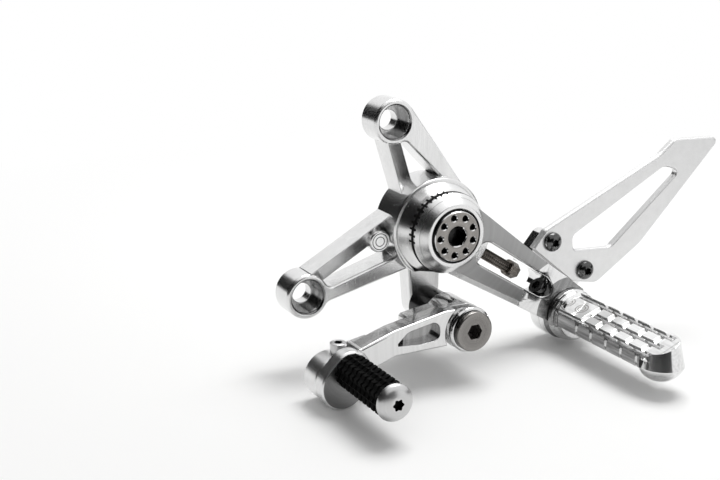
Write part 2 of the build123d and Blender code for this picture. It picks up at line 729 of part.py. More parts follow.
parts = {
    "base_plate": make_base_plate(),
    "hub_screw": make_hub_screw(),
    "clamp_nut": make_clamp_nut(),
    "friction_washer": make_friction_washer(),
    "pivot_bolt": make_pivot_bolt(),
    "pivot_spacer": make_pivot_spacer(),
    "inner_thrust_washer": make_thrust_washer(barrel_back - face_gap - thrust_t),
    "outer_thrust_washer": make_thrust_washer(barrel_back + barrel_length + face_gap),
    "footrest_arm": make_arm(),
    "hub_lock_bolt": make_lock_bolt(),
    "peg_lock_screw": make_peg_lock_screw(),
    "footpeg": make_footpeg(),
    "peg_bolt": make_peg_bolt(),
    "heel_guard": make_heel_guard(),
    "guard_screws": make_guard_screws(),
    "foot_lever": make_lever(),
    "inner_bush": make_bush(barrel_back),
    "outer_bush": make_bush(barrel_back + barrel_length - bush_length),
    "toe_holder": make_toe_holder(),
    "toe_sleeve": make_toe_sleeve(),
    "toe_screw": make_toe_screw(),
    "toe_set_screw": make_set_screw(),
}

# The upper frame bolt is the datum
to_datum = Pos(-upper_bolt[0], 0, -upper_bolt[1])
os.makedirs("parts", exist_ok=True)
for name, part in parts.items():
    export_step(to_datum * part, f"parts/{name}.step")
    print(name, round(part.volume, 1))
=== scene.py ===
import json
import math

import bmesh
import bpy
from mathutils import Matrix, Vector

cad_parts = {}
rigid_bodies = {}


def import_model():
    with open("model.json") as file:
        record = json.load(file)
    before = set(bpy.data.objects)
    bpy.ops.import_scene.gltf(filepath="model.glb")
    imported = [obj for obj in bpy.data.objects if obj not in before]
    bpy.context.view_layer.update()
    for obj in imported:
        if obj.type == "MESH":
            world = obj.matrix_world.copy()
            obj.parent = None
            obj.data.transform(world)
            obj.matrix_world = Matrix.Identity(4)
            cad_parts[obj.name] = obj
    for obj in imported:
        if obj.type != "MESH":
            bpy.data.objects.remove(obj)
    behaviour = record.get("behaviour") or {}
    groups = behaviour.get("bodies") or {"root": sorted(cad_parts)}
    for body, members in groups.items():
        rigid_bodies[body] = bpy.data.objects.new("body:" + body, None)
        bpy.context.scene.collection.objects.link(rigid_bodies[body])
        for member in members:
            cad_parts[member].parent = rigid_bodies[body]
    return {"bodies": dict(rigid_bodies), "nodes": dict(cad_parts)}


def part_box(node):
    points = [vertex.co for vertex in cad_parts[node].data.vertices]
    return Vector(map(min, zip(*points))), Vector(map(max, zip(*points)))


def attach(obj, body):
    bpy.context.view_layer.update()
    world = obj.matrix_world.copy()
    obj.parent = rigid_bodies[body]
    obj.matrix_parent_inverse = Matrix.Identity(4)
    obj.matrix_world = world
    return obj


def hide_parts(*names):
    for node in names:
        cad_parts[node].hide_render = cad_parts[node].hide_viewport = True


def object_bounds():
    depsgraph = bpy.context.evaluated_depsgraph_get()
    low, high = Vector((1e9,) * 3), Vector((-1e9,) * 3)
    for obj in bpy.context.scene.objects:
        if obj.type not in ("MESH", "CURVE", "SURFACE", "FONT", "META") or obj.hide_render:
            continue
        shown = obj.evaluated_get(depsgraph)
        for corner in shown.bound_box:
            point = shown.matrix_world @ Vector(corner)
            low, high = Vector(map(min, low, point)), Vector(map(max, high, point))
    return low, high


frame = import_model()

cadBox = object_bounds()
nodes = frame["nodes"]
mm = 0.001
perMetre = 1000.0  # millimetres
zero = (0, 0, 0)
outOfView = (0, -1, 0)  # out of the side view, away from the bike


def middleOf(nodeName):
    low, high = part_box(nodeName)
    return (low + high) / 2


# axes that run along Y, by a node that is turned about each
hubAxis = middleOf("clamp_nut")
pivotAxis = middleOf("pivot_bolt")
toeAxis = middleOf("toe_screw")
pegAxis = middleOf("peg_bolt")
slotAngle = -32.8  # from the hub along the arm's slot, in degrees
bodyOf = {child.name: bodyName for bodyName, empty in frame["bodies"].items() for child in empty.children}


# small helpers for node trees

def newGroup(name, vectors, numbers, outputs):
    group = bpy.data.node_groups.new(name, "ShaderNodeTree")
    for kind, inputs in (("NodeSocketVector", vectors), ("NodeSocketFloat", numbers)):
        for socketName, value in inputs.items():
            socket = group.interface.new_socket(socketName, in_out="INPUT", socket_type=kind)
            socket.default_value = value
    for socketName in outputs:
        group.interface.new_socket(socketName, in_out="OUTPUT", socket_type="NodeSocketFloat")
    return group, group.nodes.new("NodeGroupInput").outputs, group.nodes.new("NodeGroupOutput").inputs


def plug(tree, value, socket):
    if isinstance(value, bpy.types.NodeSocket):
        tree.links.new(value, socket)
    else:
        socket.default_value = value


def sums(tree, operation, *values):
    node = tree.nodes.new("ShaderNodeMath")
    node.operation = operation
    for value, socket in zip(values, node.inputs):
        plug(tree, value, socket)
    return node.outputs[0]


def vectorSums(tree, operation, *values, output="Vector"):
    node = tree.nodes.new("ShaderNodeVectorMath")
    node.operation = operation
    for value, socket in zip(values, node.inputs):
        plug(tree, value, socket)
    return node.outputs[output]


def noise(tree, vector, scale, detail, rough, bend=0.0):
    node = tree.nodes.new("ShaderNodeTexNoise")
    plug(tree, vector, node.inputs["Vector"])
    plug(tree, scale, node.inputs["Scale"])
    node.inputs["Detail"].default_value = detail
    node.inputs["Roughness"].default_value = rough
    node.inputs["Distortion"].default_value = bend
    return node.outputs["Fac"]


def remap(tree, value, fromLow, fromHigh, toLow=0.0, toHigh=1.0):
    node = tree.nodes.new("ShaderNodeMapRange")
    for number, socket in zip((value, fromLow, fromHigh, toLow, toHigh), node.inputs):
        plug(tree, number, socket)
    return node.outputs[0]


def mixed(tree, kind, factor, a, b):
    node = tree.nodes.new("ShaderNodeMix")
    node.data_type = kind
    first, result = (6, 2) if kind == "RGBA" else (2, 0)  # the node keeps other sockets for each kind
    plug(tree, factor, node.inputs[0])
    plug(tree, a, node.inputs[first])
    plug(tree, b, node.inputs[first + 1])
    return node.outputs[result]


def placeGroup(tree, group, vector, **values):
    node = tree.nodes.new("ShaderNodeGroup")
    node.node_tree = group
    tree.links.new(vector, node.inputs["Vector"])
    for name, value in values.items():
        node.inputs[name].default_value = value
    return node.outputs


# lathe marks: fine rings about an axis that runs along Y
coneRun = 0.83  # on a cone both radius and depth change, so the rings step along both


def makeTurnedMarks():
    group, given, out = newGroup("turnedMarks", dict(Vector=zero, Centre=zero), dict(Pitch=0.2),
                                 ["Marks", "Bands"])
    parts = group.nodes.new("ShaderNodeSeparateXYZ")
    group.links.new(vectorSums(group, "SUBTRACT", given["Vector"], given["Centre"]), parts.inputs[0])
    x, y, z = parts.outputs
    squares = sums(group, "ADD", sums(group, "MULTIPLY", x, x), sums(group, "MULTIPLY", z, z))
    run = sums(group, "SUBTRACT", sums(group, "SQRT", squares), sums(group, "MULTIPLY", y, coneRun))
    rings = sums(group, "DIVIDE", sums(group, "MULTIPLY", run, perMetre), given["Pitch"])
    line = group.nodes.new("ShaderNodeCombineXYZ")
    group.links.new(rings, line.inputs["X"])
    group.links.new(noise(group, line.outputs[0], scale=1.0, detail=2.0, rough=0.7), out["Marks"])
    group.links.new(noise(group, line.outputs[0], scale=0.11, detail=1.0, rough=0.5), out["Bands"])
    return group


# mill marks: streaks, long where the stretch is small
def makeMilledMarks():
    group, given, out = newGroup("milledMarks", dict(Vector=zero, Stretch=(1, 1, 1)), {}, ["Marks", "Bands"])
    scaled = vectorSums(group, "MULTIPLY", given["Vector"], given["Stretch"])
    group.links.new(noise(group, scaled, scale=1.0, detail=3.0, rough=0.65), out["Marks"])
    group.links.new(noise(group, scaled, scale=0.12, detail=2.0, rough=0.5), out["Bands"])
    return group


# what hands and a cloth leave: broad soft patches, and a few hair scratches
hairScratch = dict(stretch=(2600, 2600, 130), low=0.69, high=0.76)


def makeHandledSurface():
    group, given, out = newGroup("handledSurface", dict(Vector=zero), dict(Scale=60.0),
                                 ["Patches", "Scratches"])
    patches = noise(group, given["Vector"], given["Scale"], detail=4.0, rough=0.6, bend=0.6)
    group.links.new(patches, out["Patches"])
    stretched = vectorSums(group, "MULTIPLY", given["Vector"], hairScratch["stretch"])
    thin = noise(group, stretched, scale=1.0, detail=1.0, rough=0.5)
    group.links.new(remap(group, thin, hairScratch["low"], hairScratch["high"]), out["Scratches"])
    return group


def between(group, value, given):
    above = sums(group, "GREATER_THAN", value, given["From"])
    below = sums(group, "LESS_THAN", value, given["To"])
    return sums(group, "MULTIPLY", above, below)


# a band of the piece between two distances along a direction
def makeBandMask():
    group, given, out = newGroup("bandMask", dict(Vector=zero, Centre=zero, Along=outOfView),
                                 dict(From=0.0, To=0.0), ["Mask"])
    away = vectorSums(group, "SUBTRACT", given["Vector"], given["Centre"])
    reach = vectorSums(group, "DOT_PRODUCT", away, given["Along"], output="Value")
    group.links.new(between(group, sums(group, "MULTIPLY", reach, perMetre), given), out["Mask"])
    return group


# a ring of the piece between two radii about an axis that runs along Y, in front of the axis point
def makeRingMask():
    group, given, out = newGroup("ringMask", dict(Vector=zero, Centre=zero), dict(From=0.0, To=0.0), ["Mask"])
    away = vectorSums(group, "SUBTRACT", given["Vector"], given["Centre"])
    flat = vectorSums(group, "MULTIPLY", away, (perMetre, 0, perMetre))
    ring = between(group, vectorSums(group, "LENGTH", flat, output="Value"), given)
    parts = group.nodes.new("ShaderNodeSeparateXYZ")
    group.links.new(away, parts.inputs[0])
    inFront = sums(group, "LESS_THAN", parts.outputs["Y"], 0.0)
    group.links.new(sums(group, "MULTIPLY", ring, inFront), out["Mask"])
    return group


turnedMarks = makeTurnedMarks()
milledMarks = makeMilledMarks()
handledSurface = makeHandledSurface()
bandMask = makeBandMask()
ringMask = makeRingMask()

# how tool marks and patches share in a metal's tone, gloss and height; the far end lies past every piece
metalMix = dict(marks=0.6, bands=0.4, toneFrom=0.35, toneTo=0.65, glossFrom=0.3, glossTo=0.7, height=0.02,
                farEnd=200.0)


# a bare metal: tool marks change its tone, gloss and height a little, and bands may paint shade, highlights
# and reflections into its tone
def makeMetal(name, look, mix=metalMix):
    material = bpy.data.materials.new(name)
    material.use_nodes = True
    tree = material.node_tree
    shader = tree.nodes["Principled BSDF"]
    place = tree.nodes.new("ShaderNodeTexCoord").outputs["Object"]
    marks, bands = None, None
    if "stretch" in look:
        milled = placeGroup(tree, milledMarks, place, Stretch=look["stretch"])
        marks, bands = milled["Marks"], milled["Bands"]
    if "centre" in look:
        turned = placeGroup(tree, turnedMarks, place, Centre=look["centre"][:], Pitch=look["pitch"])
        if marks is None:
            marks, bands = turned["Marks"], turned["Bands"]
        else:
            isTurned = placeGroup(tree, bandMask, place, From=look["turnedFrom"], To=mix["farEnd"])["Mask"]
            marks = mixed(tree, "FLOAT", isTurned, marks, turned["Marks"])
            bands = mixed(tree, "FLOAT", isTurned, bands, turned["Bands"])
    hand = placeGroup(tree, handledSurface, place, Scale=look["patchScale"])
    fine = sums(tree, "MULTIPLY", marks, mix["marks"])
    broad = sums(tree, "MULTIPLY", bands, mix["bands"])
    tone = remap(tree, sums(tree, "ADD", fine, broad), mix["toneFrom"], mix["toneTo"])
    colour = mixed(tree, "RGBA", tone, look["dark"], look["light"])
    gloss = remap(tree, hand["Patches"], mix["glossFrom"], mix["glossTo"], *look["gloss"])
    gloss = sums(tree, "ADD", gloss, sums(tree, "MULTIPLY", hand["Scratches"], look["scratch"]))
    for cut in look.get("bands", ()):  # bands paint shade, highlights and reflections into the tone; some only change the gloss
        where = dict(Centre=cut["centre"], From=cut["low"], To=cut["high"])
        if cut["along"]:
            level = placeGroup(tree, bandMask, place, Along=cut["along"], **where)["Mask"]
        else:
            level = placeGroup(tree, ringMask, place, **where)["Mask"]
        toned = mixed(tree, "RGBA", tone, cut["dark"], cut["light"])
        colour = mixed(tree, "RGBA", level, colour, toned)
        gloss = mixed(tree, "FLOAT", level, gloss, cut["gloss"])
    plug(tree, colour, shader.inputs["Base Color"])
    plug(tree, gloss, shader.inputs["Roughness"])
    shader.inputs["Metallic"].default_value = look.get("metallic", 1.0)
    shader.inputs["Specular IOR Level"].default_value = look.get("specular", 0.5)
    bump = tree.nodes.new("ShaderNodeBump")
    bump.inputs["Strength"].default_value = look["bump"]
    bump.inputs["Distance"].default_value = mix["height"] * mm
    tree.links.new(marks, bump.inputs["Height"])
    tree.links.new(bump.outputs["Normal"], shader.inputs["Normal"])
    return material


def grey(value, warmth=0.0):
    return (value * (1 + warmth), value, value * (1 - warmth), 1)


# distances in mm along a direction, or from the axis where there is no direction
def band(low, high, tones, gloss, along=outOfView, centre=zero):
    dark, light = grey(tones[0]), grey(tones[1])
    return dict(centre=centre, along=along, low=low, high=high, dark=dark, light=light, gloss=gloss)


def around(place, half):
    return place - half, place + half


def slanted(degrees):
    return (math.cos(math.radians(degrees)), 0, math.sin(math.radians(degrees)))


# the footpeg's tread leans; across it come the flank and the walls of the long grooves
pegTread = dict(tilt=20.0, walls=(-5.5, 1.1, 7.7), wallHalf=0.06, flank=(-12.0, -8.15), deep=(2.0, 4.9),
                top=(6.2, 14.0), under=(-12.0, 0.6), rings=5, firstRing=52.6, ringPitch=9.7, ringHalf=0.72,
                nose=(94.0, 110.0))
across = dict(along=slanted(pegTread["tilt"]), centre=pegAxis[:])
upright = dict(along=slanted(pegTread["tilt"] + 90), centre=pegAxis[:])
# painted shade: the walls of the long grooves are painted dark
pegGlossAndPaintedLight = [band(*around(wall, pegTread["wallHalf"]), tones=(0.10, 0.24), gloss=0.25, **across)
            for wall in pegTread["walls"]]
pegGlossAndPaintedLight.append(band(*pegTread["deep"], tones=(0.80, 0.93), gloss=0.14, **upright))
pegGlossAndPaintedLight.append(band(*pegTread["top"], tones=(0.80, 0.93), gloss=0.13, **upright))
# painted reflection: the flank is painted dark, for the shaded floor it mirrors
pegGlossAndPaintedLight.append(band(*pegTread["flank"], tones=(0.15, 0.40), gloss=0.20, **across))
# painted shade: the underside is painted darker
pegGlossAndPaintedLight.append(band(*pegTread["under"], tones=(0.55, 0.80), gloss=0.20, **upright))
for index in range(pegTread["rings"]):  # painted highlight: the ring grooves are painted bright all round
    ringDepth = pegTread["firstRing"] + index * pegTread["ringPitch"]
    pegGlossAndPaintedLight.append(band(*around(ringDepth, pegTread["ringHalf"]), tones=(0.88, 0.97), gloss=0.22))
# painted reflection: the nose is painted darker
pegGlossAndPaintedLight.append(band(*pegTread["nose"], tones=(0.62, 0.86), gloss=0.15))

# on the arm: the softly turned hub; the front of the bar painted darker, a painted reflection of the shaded
# floor; and the rim round the peg's seat painted dark, painted shade
armCuts = dict(hub=(-40.0, 15.5), barFront=(27.9, 28.1), bossRim=(31.7, 34.1))
alongSlot = dict(along=slanted(slotAngle), centre=hubAxis[:])
armFinishAndPaintedShade = [band(*armCuts["hub"], tones=(0.70, 0.86), gloss=0.27, **alongSlot),
            band(*armCuts["barFront"], tones=(0.32, 0.40), gloss=0.32),
            band(*armCuts["bossRim"], tones=(0.16, 0.40), gloss=0.22)]

# on the plate: the frame bolts' counterbores painted darker, painted shade, and the broken rim round each
# painted darker still, a painted reflection
boltSeats = dict(centres=((0.0, 0.0), (-40.3, -69.0)), floor=5.4, bore=(0.0, 7.02), rim=(7.02, 7.7))
platePaintedSeatShade = []
for x, z in boltSeats["centres"]:
    atBolt = dict(along=None, centre=(x * mm, -boltSeats["floor"] * mm, z * mm))
    platePaintedSeatShade.append(band(*boltSeats["bore"], tones=(0.30, 0.62), gloss=0.16, **atBolt))
    platePaintedSeatShade.append(band(*boltSeats["rim"], tones=(0.16, 0.34), gloss=0.16, **atBolt))

# on the lever: the pocket's floor painted dark, painted shade, and the softly turned boss at the toe
leverCuts = dict(pocketFloor=(44.5, 44.7), toeBoss=(-60.0, -34.4))
leverFinishAndPaintedShade = [band(*leverCuts["pocketFloor"], tones=(0.20, 0.42), gloss=0.2),
              band(*leverCuts["toeBoss"], tones=(0.74, 0.88), gloss=0.30, along=(1, 0, 0))]

# on the toe holder: the face of its flange painted dark, a painted reflection of the shaded floor; on the
# nut: all behind its front edge painted near black, painted shade, and that edge painted bright, a painted
# highlight
holderCuts = dict(flangeFace=(52.9, 53.1))
holderPaintedShade = [band(*holderCuts["flangeFace"], tones=(0.19, 0.25), gloss=0.30)]
nutCuts = dict(behind=(20.0, 31.45), edge=(31.45, 31.85))
nutPaintedShadeAndHighlight = [band(*nutCuts["behind"], tones=(0.01, 0.03), gloss=0.30),
            band(*nutCuts["edge"], tones=(0.70, 0.85), gloss=0.20)]

evenGrain = (1500, 1500, 1500)
plateLook = dict(dark=grey(0.72), light=grey(0.84), gloss=(0.20, 0.26), stretch=(1600, 1600, 90),
                 centre=hubAxis, pitch=0.22, turnedFrom=12.4, patchScale=45.0, scratch=0.05, bump=0.10,
                 bands=platePaintedSeatShade)
armLook = dict(dark=grey(0.72), light=grey(0.86), gloss=(0.11, 0.16), centre=hubAxis, pitch=0.22,
               patchScale=50.0, scratch=0.05, bump=0.10, bands=armFinishAndPaintedShade)
pegLook = dict(dark=grey(0.80), light=grey(0.93), gloss=(0.10, 0.16), stretch=(900, 60, 900),
               patchScale=60.0, scratch=0.05, bump=0.06, bands=pegGlossAndPaintedLight)
guardLook = dict(dark=grey(0.70), light=grey(0.77), gloss=(0.34, 0.38), stretch=(2600, 2600, 2600),
                 patchScale=14.0, scratch=0.03, bump=0.08)
leverLook = dict(dark=grey(0.62), light=grey(0.76), gloss=(0.10, 0.17), centre=pivotAxis, pitch=0.2,
                 patchScale=60.0, scratch=0.05, bump=0.06, bands=leverFinishAndPaintedShade)
holderLook = dict(dark=grey(0.72), light=grey(0.86), gloss=(0.26, 0.32), centre=toeAxis, pitch=0.2,
                  patchScale=70.0, scratch=0.05, bump=0.10, bands=holderPaintedShade)
nutLook = dict(dark=grey(0.20, 0.05), light=grey(0.36, 0.05), gloss=(0.22, 0.30), centre=hubAxis, pitch=0.35,
               patchScale=90.0, scratch=0.05, bump=0.25, bands=nutPaintedShadeAndHighlight)
pivotLook = dict(dark=grey(0.14, 0.04), light=grey(0.30, 0.04), gloss=(0.24, 0.30), centre=pivotAxis,
                 pitch=0.35, patchScale=90.0, scratch=0.05, bump=0.35)
titaniumLook = dict(dark=grey(0.08, 0.10), light=grey(0.25, 0.10), gloss=(0.12, 0.20), stretch=evenGrain,
                    patchScale=120.0, scratch=0.05, bump=0.12)
darkScrewLook = dict(dark=grey(0.07), light=grey(0.16), gloss=(0.14, 0.22), stretch=evenGrain,
                     patchScale=120.0, scratch=0.06, bump=0.10)
blackSteelLook = dict(dark=grey(0.02), light=grey(0.045), gloss=(0.20, 0.30), stretch=evenGrain,
                      patchScale=120.0, scratch=0.08, bump=0.12)
brightSteelLook = dict(dark=grey(0.50), light=grey(0.66), gloss=(0.27, 0.34), centre=toeAxis, pitch=0.25,
                       patchScale=120.0, scratch=0.05, bump=0.08)
polymerLook = dict(dark=grey(0.002), light=grey(0.005), gloss=(0.60, 0.72), stretch=(2200, 2200, 2200),
                   patchScale=200.0, scratch=0.0, bump=0.4, metallic=0.0, specular=0.05)
anodisedLook = dict(dark=grey(0.010), light=grey(0.020), gloss=(0.18, 0.26), centre=pivotAxis, pitch=0.2,
                    patchScale=120.0, scratch=0.05, bump=0.1, metallic=0.5)
bronzeLook = dict(dark=(0.48, 0.31, 0.15, 1), light=(0.60, 0.41, 0.21, 1), gloss=(0.28, 0.36),
                  centre=pivotAxis, pitch=0.2, patchScale=120.0, scratch=0.05, bump=0.1)
inkLook = dict(dark=grey(0.002), light=grey(0.006), gloss=(0.5, 0.6), stretch=(3000, 3000, 3000),
               patchScale=300.0, scratch=0.0, bump=0.2, metallic=0.0, specular=0.08)
# painted shade for the recesses of the domed screws
recessShadeLook = dict(dark=grey(0.006), light=grey(0.02), gloss=(0.30, 0.40), stretch=evenGrain,
                  patchScale=120.0, scratch=0.0, bump=0.1)

plateMetal = makeMetal("plateMetal", plateLook)
armMetal = makeMetal("armMetal", armLook)
pegMetal = makeMetal("pegMetal", pegLook)
guardMetal = makeMetal("guardMetal", guardLook)
leverMetal = makeMetal("leverMetal", leverLook)
holderMetal = makeMetal("holderMetal", holderLook)
nutMetal = makeMetal("nutMetal", nutLook)
pivotMetal = makeMetal("pivotMetal", pivotLook)
titaniumMetal = makeMetal("titaniumMetal", titaniumLook)
darkScrewMetal = makeMetal("darkScrewMetal", darkScrewLook)
blackSteel = makeMetal("blackSteel", blackSteelLook)
brightSteel = makeMetal("brightSteel", brightSteelLook)
blackPolymer = makeMetal("blackPolymer", polymerLook)
blackAnodised = makeMetal("blackAnodised", anodisedLook)
bushBronze = makeMetal("bushBronze", bronzeLook)
scaleInk = makeMetal("scaleInk", inkLook)
recessShade = makeMetal("recessShade", recessShadeLook)
print("materials made,", len(bpy.data.materials))

finishes = {
    "base_plate": (plateMetal, "machined_aluminium"),
    "footrest_arm": (armMetal, "polished_aluminium"),
    "footpeg": (pegMetal, "polished_aluminium"),
    "heel_guard": (guardMetal, "satin_aluminium"),
    "foot_lever": (leverMetal, "polished_aluminium"),
    "toe_holder": (holderMetal, "polished_aluminium"),
    "clamp_nut": (nutMetal, "titanium"),
    "pivot_bolt": (pivotMetal, "titanium"),
    "hub_lock_bolt": (titaniumMetal, "titanium"),
    "guard_screws": (darkScrewMetal, "black_steel"),
    "hub_screw": (blackSteel, "black_steel"),
    "peg_lock_screw": (darkScrewMetal, "black_steel"),
    "peg_bolt": (blackSteel, "black_steel"),
    "toe_screw": (brightSteel, "bright_steel"),
    "toe_set_screw": (brightSteel, "bright_steel"),
    "toe_sleeve": (blackPolymer, "black_polymer"),
    "friction_washer": (scaleInk, "black_anodised"),
    "pivot_spacer": (blackAnodised, "black_anodised"),
    "inner_thrust_washer": (brightSteel, "bright_steel"),
    "outer_thrust_washer": (blackSteel, "black_steel"),
    "inner_bush": (bushBronze, "bronze"),
    "outer_bush": (bushBronze, "bronze"),
}
for nodeName, (material, slotName) in finishes.items():
    nodes[nodeName].data.materials.clear()
    nodes[nodeName].data.materials.append(material)
print("finishes placed on", len(finishes), "nodes")

# points nearer than these become one, on new shapes and on copies of CAD nodes
weldGap = 0.0005 * mm
cadWeldGap = 0.001 * mm


def placeMesh(name, bm, materials):
    mesh = bpy.data.meshes.new(name)
    bm.to_mesh(mesh)
    bm.free()
    for material in materials:
        mesh.materials.append(material)
    placed = bpy.data.objects.new(name, mesh)
    bpy.context.scene.collection.objects.link(placed)
    return placed


def makePiece(name, bm, materials, body, smoothBelow=32):
    bmesh.ops.remove_doubles(bm, verts=bm.verts, dist=weldGap)
    bmesh.ops.recalc_face_normals(bm, faces=bm.faces)
    for face in bm.faces:
        face.smooth = True
    for edge in bm.edges:
        edge.smooth = edge.calc_face_angle(0) < math.radians(smoothBelow)
    piece = placeMesh(name, bm, materials)
    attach(piece, body)
    return piece


def joinInto(target, bm):
    mesh = bpy.data.meshes.new("part")
    bm.to_mesh(mesh)
    bm.free()
    target.from_mesh(mesh)
    bpy.data.meshes.remove(mesh)


# radii and heights in mm, turned once about Z
def turnProfile(bm, profile, steps, closed=False):
    verts = [bm.verts.new((radius * mm, 0, height * mm)) for radius, height in profile]
    pairs = list(zip(verts, verts[1:]))
    if closed:
        pairs.append((verts[-1], verts[0]))
    edges = [bm.edges.new(ends) for ends in pairs]
    bmesh.ops.spin(bm, geom=verts + edges, cent=zero, axis=(0, 0, 1), angle=math.tau, steps=steps,
                   use_merge=True)


def outwards(x, depth, z):
    # a shape that stands up along Z now points out of the side view
    return Matrix.Translation((x, -depth * mm, z)) @ Matrix.Rotation(math.radians(90), 4, "X")


# screws with a domed head and a recess, standing on the origin
screwSteps = dict(dome=10, round=48, sides=6)
guardScrew = dict(headD=8.6, head=2.8, lip=0.5, mouth=4.2, recess=3.5, recessDepth=1.5, leadIn=0.25,
                  threadD=5.0, length=9.4, lobe=0.0, depth=25.0, spacing=(18.4, -15.6))
toeScrew = dict(headD=14.8, head=3.6, lip=0.3, mouth=5.4, recess=4.2, recessDepth=2.4, leadIn=0.1,
                threadD=6.0, length=38.0, lobe=0.14, depth=86.4)
setScrew = dict(headD=6.6, head=4.0, lip=3.7, mouth=4.6, recess=3.5, recessDepth=2.2, leadIn=0.1,
                threadD=4.0, length=4.65, lobe=0.0)


def addDomedScrew(bm, size, place, steps=screwSteps):
    radius, height, lip = size["headD"] / 2, size["head"], size["lip"]
    shank, end = size["threadD"] / 2, -size["length"]
    profile = [(0, end), (shank, end), (shank, 0), (radius, 0), (radius, lip)]
    reach = math.acos(size["mouth"] / 2 / radius)
    for index in range(1, steps["dome"] + 1):  # the dome is a quarter ellipse that stops at the recess
        angle = reach * index / steps["dome"]
        profile.append((radius * math.cos(angle), lip + (height - lip) * math.sin(angle) / math.sin(reach)))
    turnProfile(bm, profile, steps["round"])
    bmesh.ops.remove_doubles(bm, verts=bm.verts, dist=weldGap)
    rim = [edge for edge in bm.edges if edge.is_boundary]
    corners = steps["round"] if size["lobe"] else steps["sides"]
    made = bmesh.ops.create_circle(bm, segments=corners, radius=size["recess"] / 2 * mm)["verts"]
    for vert in made:
        if size["lobe"]:
            turn = math.atan2(vert.co.y, vert.co.x)
            vert.co *= 1 + size["lobe"] * math.cos(steps["sides"] * turn)
        vert.co.z = (height - size["leadIn"]) * mm
    loop = list({edge for vert in made for edge in vert.link_edges})
    bmesh.ops.bridge_loops(bm, edges=rim + loop)
    sunk = bmesh.ops.extrude_edge_only(bm, edges=loop)["geom"]
    floorVerts = [item for item in sunk if isinstance(item, bmesh.types.BMVert)]
    bmesh.ops.translate(bm, verts=floorVerts, vec=(0, 0, -size["recessDepth"] * mm))
    bmesh.ops.contextual_create(bm, geom=[item for item in sunk if isinstance(item, bmesh.types.BMEdge)])
    # the recess's walls and floor take the second material, painted shade
    for vert in floorVerts:
        for face in vert.link_faces:
            face.material_index = 1
    bmesh.ops.transform(bm, matrix=place, verts=bm.verts)


screwMiddle = middleOf("guard_screws")
bothScrews = bmesh.new()
for side in (-1, 1):
    single = bmesh.new()
    x = screwMiddle.x + side * guardScrew["spacing"][0] / 2 * mm
    z = screwMiddle.z + side * guardScrew["spacing"][1] / 2 * mm
    addDomedScrew(single, guardScrew, outwards(x, guardScrew["depth"], z))
    joinInto(bothScrews, single)
guardButtons = makePiece("guardButtons", bothScrews, [darkScrewMetal, recessShade], bodyOf["guard_screws"])
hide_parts("guard_screws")

dome = bmesh.new()
addDomedScrew(dome, toeScrew, outwards(toeAxis.x, toeScrew["depth"], toeAxis.z))
toeDome = makePiece("toeDome", dome, [brightSteel, recessShade], bodyOf["toe_screw"])
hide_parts("toe_screw")

setMiddle = middleOf("toe_set_screw")
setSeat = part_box("toe_set_screw")[1].z - setScrew["head"] * mm
cap = bmesh.new()
addDomedScrew(cap, setScrew, Matrix.Translation((setMiddle.x, setMiddle.y, setSeat)))
toeSetCap = makePiece("toeSetCap", cap, [brightSteel, recessShade], bodyOf["toe_set_screw"])
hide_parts("toe_set_screw")
print("domed screws made")

# lock bolt in the arm's slot, with a real thread; the crest is in parts of the pitch
lockBolt = dict(angle=slotAngle, depth=22.4, start=19.0, reach=37.8, threadD=5.0, pitch=1.15, threadCut=0.6,
                crest=(0.42, 0.58), threadSteps=24, weld=0.002, rootSides=32, rootEdge=0.1, collarD=7.0,
                collar=0.6, collarSides=48, collarEdge=0.12, flats=6.2, headLength=5.0, headSides=6,
                headEdge=0.5, smoothBelow=25)


def addThread(bm, size):
    crest, root = size["threadD"] / 2, size["threadD"] / 2 - size["threadCut"]
    steps, pitch = size["threadSteps"], size["pitch"]
    crestFrom, crestTo = size["crest"]
    turns = int((size["reach"] - size["start"]) / pitch) - 1
    profile = [(root, 0), (crest, crestFrom * pitch), (crest, crestTo * pitch), (root, pitch)]
    verts = [bm.verts.new((radius * mm, 0, height * mm)) for radius, height in profile]
    edges = [bm.edges.new(ends) for ends in zip(verts, verts[1:])]
    bmesh.ops.spin(bm, geom=verts + edges, cent=zero, axis=(0, 0, 1), dvec=(0, 0, pitch / steps * mm),
                   angle=math.tau * turns, steps=steps * turns)
    bmesh.ops.remove_doubles(bm, verts=bm.verts, dist=size["weld"] * mm)
    bmesh.ops.holes_fill(bm, edges=[edge for edge in bm.edges if edge.is_boundary], sides=0)
    return turns * pitch


def addRod(bm, sides, radius, low, high, edge):
    solid = bmesh.new()
    bmesh.ops.create_cone(solid, cap_ends=True, segments=sides, radius1=radius * mm, radius2=radius * mm,
                          depth=(high - low) * mm)
    top = [line for line in solid.edges if all(vert.co.z > 0 for vert in line.verts)]
    bmesh.ops.bevel(solid, geom=top, offset=edge * mm, segments=2, profile=0.5, affect="EDGES", material=-1)
    bmesh.ops.translate(solid, verts=solid.verts, vec=(0, 0, (low + high) / 2 * mm))
    joinInto(bm, solid)


